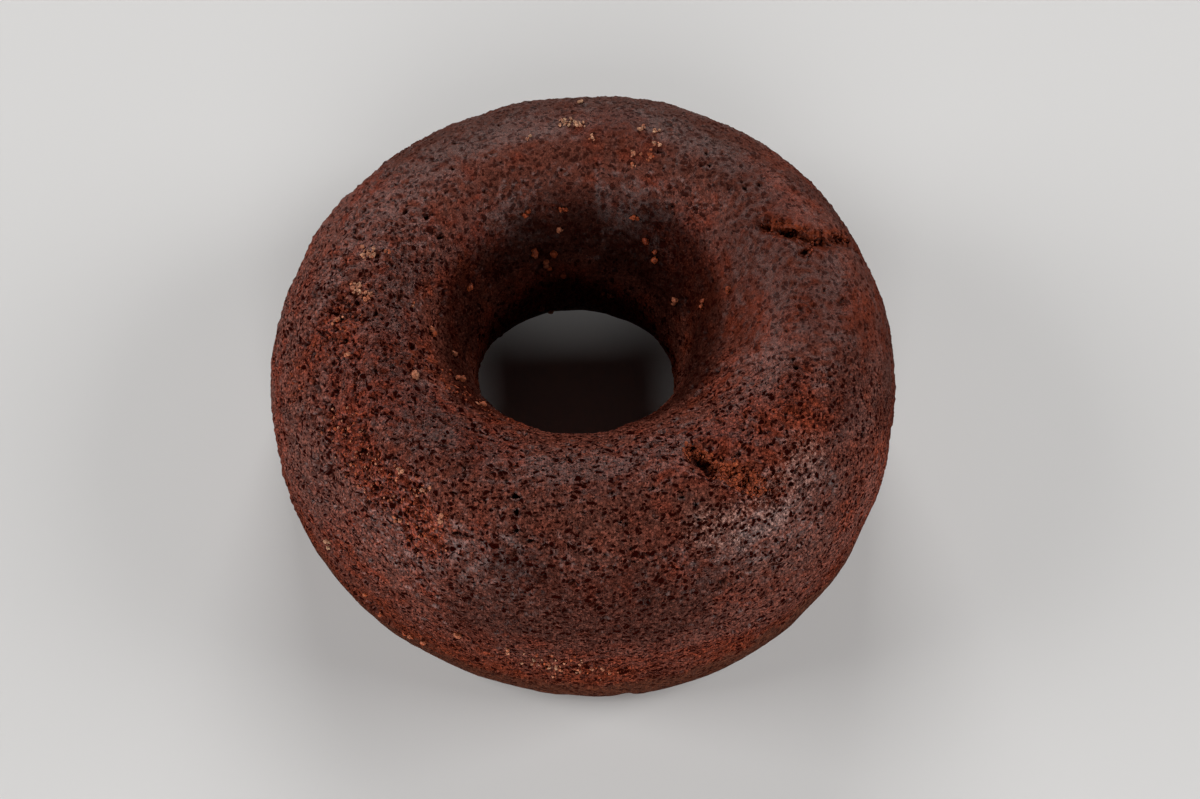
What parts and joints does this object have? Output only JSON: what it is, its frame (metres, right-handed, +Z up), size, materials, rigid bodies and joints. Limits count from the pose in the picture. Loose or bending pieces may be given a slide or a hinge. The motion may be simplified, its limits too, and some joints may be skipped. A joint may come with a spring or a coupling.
{
  "type": "chocolate ring cake",
  "caption": "Deep chocolate ring cake with a pitted, crumbly crust, rounded shoulders and a funnel-shaped hole in the middle, standing on its flat base.",
  "frame": {"origin": "middle of the cake's box, on the flat base that it rests on", "axes": "+Z up out of the hole, -Y towards the side with the torn patch and the nick, +X towards the side with the crack"},
  "size_m": [0.2192, 0.223, 0.0886],
  "materials": {
    "crumb": "dark chocolate brown baked crust, pitted with fine pores, matt with a faint greasy sheen"
  },
  "bodies": {
    "root": {"ring_cake": "crumb"}
  },
  "joints": []
}
